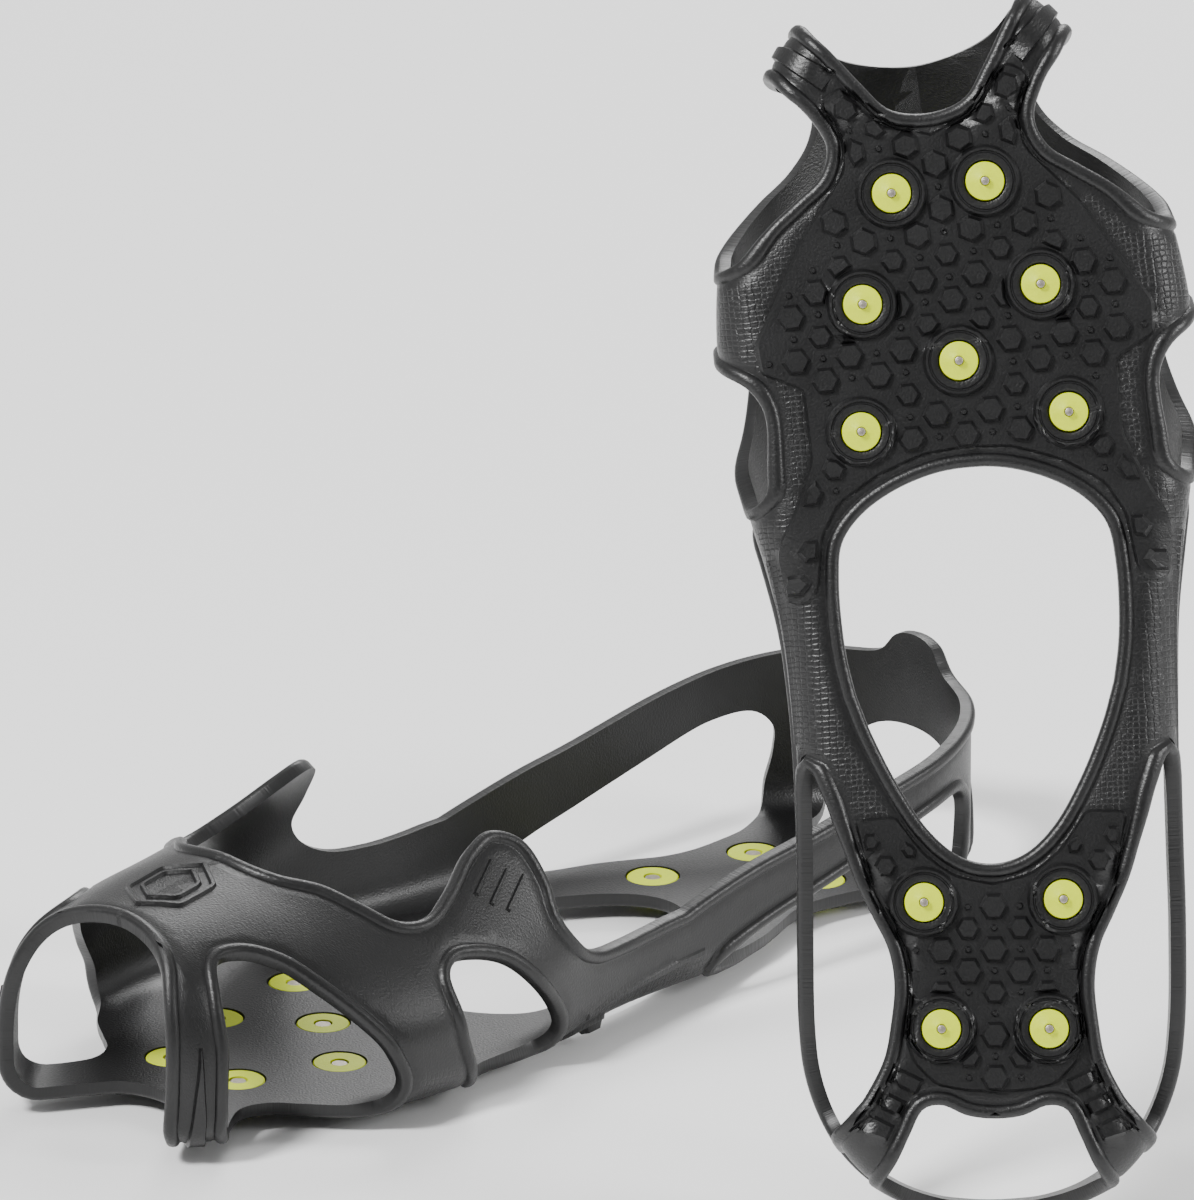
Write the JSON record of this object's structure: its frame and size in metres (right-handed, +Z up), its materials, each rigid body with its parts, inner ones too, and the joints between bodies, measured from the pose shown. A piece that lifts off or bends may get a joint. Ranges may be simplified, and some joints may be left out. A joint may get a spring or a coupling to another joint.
{
  "type": "shoe ice cleats",
  "caption": "Pair of slip-on stretch rubber ice cleats for boots, one standing on its studs and one upright with its studded sole in front.",
  "frame": {"origin": "centre of the pair's bounding box, on the ground", "axes": "+Z up; the upright left cleat shows its studded sole towards -Y; the right cleat stands on its studs with its toe towards -X and -Y"},
  "size_m": [0.3072, 0.327, 0.3099],
  "materials": {
    "black_rubber": "satin moulded rubber",
    "yellow_plastic": "satin",
    "pin_steel": "sintered, slightly rough"
  },
  "bodies": {
    "right_forefoot": {"right_forefoot_harness": "black_rubber", "right_stud_body_01": "yellow_plastic", "right_stud_body_02": "yellow_plastic", "right_stud_body_03": "yellow_plastic", "right_stud_body_04": "yellow_plastic", "right_stud_body_05": "yellow_plastic", "right_stud_body_06": "yellow_plastic", "right_stud_body_07": "yellow_plastic", "right_stud_pin_01": "pin_steel", "right_stud_pin_02": "pin_steel", "right_stud_pin_03": "pin_steel", "right_stud_pin_04": "pin_steel", "right_stud_pin_05": "pin_steel", "right_stud_pin_06": "pin_steel", "right_stud_pin_07": "pin_steel"},
    "right_heel": {"right_heel_harness": "black_rubber", "right_stud_body_08": "yellow_plastic", "right_stud_body_09": "yellow_plastic", "right_stud_body_10": "yellow_plastic", "right_stud_body_11": "yellow_plastic", "right_stud_pin_08": "pin_steel", "right_stud_pin_09": "pin_steel", "right_stud_pin_10": "pin_steel", "right_stud_pin_11": "pin_steel"},
    "left_heel": {"left_heel_harness": "black_rubber", "left_stud_body_08": "yellow_plastic", "left_stud_body_09": "yellow_plastic", "left_stud_body_10": "yellow_plastic", "left_stud_body_11": "yellow_plastic", "left_stud_pin_08": "pin_steel", "left_stud_pin_09": "pin_steel", "left_stud_pin_10": "pin_steel", "left_stud_pin_11": "pin_steel"},
    "left_forefoot": {"left_forefoot_harness": "black_rubber", "left_stud_body_01": "yellow_plastic", "left_stud_body_02": "yellow_plastic", "left_stud_body_03": "yellow_plastic", "left_stud_body_04": "yellow_plastic", "left_stud_body_05": "yellow_plastic", "left_stud_body_06": "yellow_plastic", "left_stud_body_07": "yellow_plastic", "left_stud_pin_01": "pin_steel", "left_stud_pin_02": "pin_steel", "left_stud_pin_03": "pin_steel", "left_stud_pin_04": "pin_steel", "left_stud_pin_05": "pin_steel", "left_stud_pin_06": "pin_steel", "left_stud_pin_07": "pin_steel"}
  },
  "joints": [
    {"name": "right_arch_flex", "type": "hinge", "parent": "right_forefoot", "child": "right_heel", "pos_m": [-0.01062, 0.05735, 0.016], "axis": [-0.6838, 0.7297, 0], "range_deg": [-25, 10], "stiffness_Nm_per_rad": 2},
    {"name": "left_cleat_lay_down", "type": "hinge", "parent": "right_forefoot", "child": "left_heel", "pos_m": [0.10198, -0.13532, 0.03271], "axis": [1, 0, 0], "range_deg": [0, 110]},
    {"name": "left_arch_flex", "type": "hinge", "parent": "left_heel", "child": "left_forefoot", "pos_m": [0.09951, -0.1134, 0.14179], "axis": [-0.9985, -0.0187, -0.0515], "range_deg": [-10, 25], "stiffness_Nm_per_rad": 2}
  ]
}
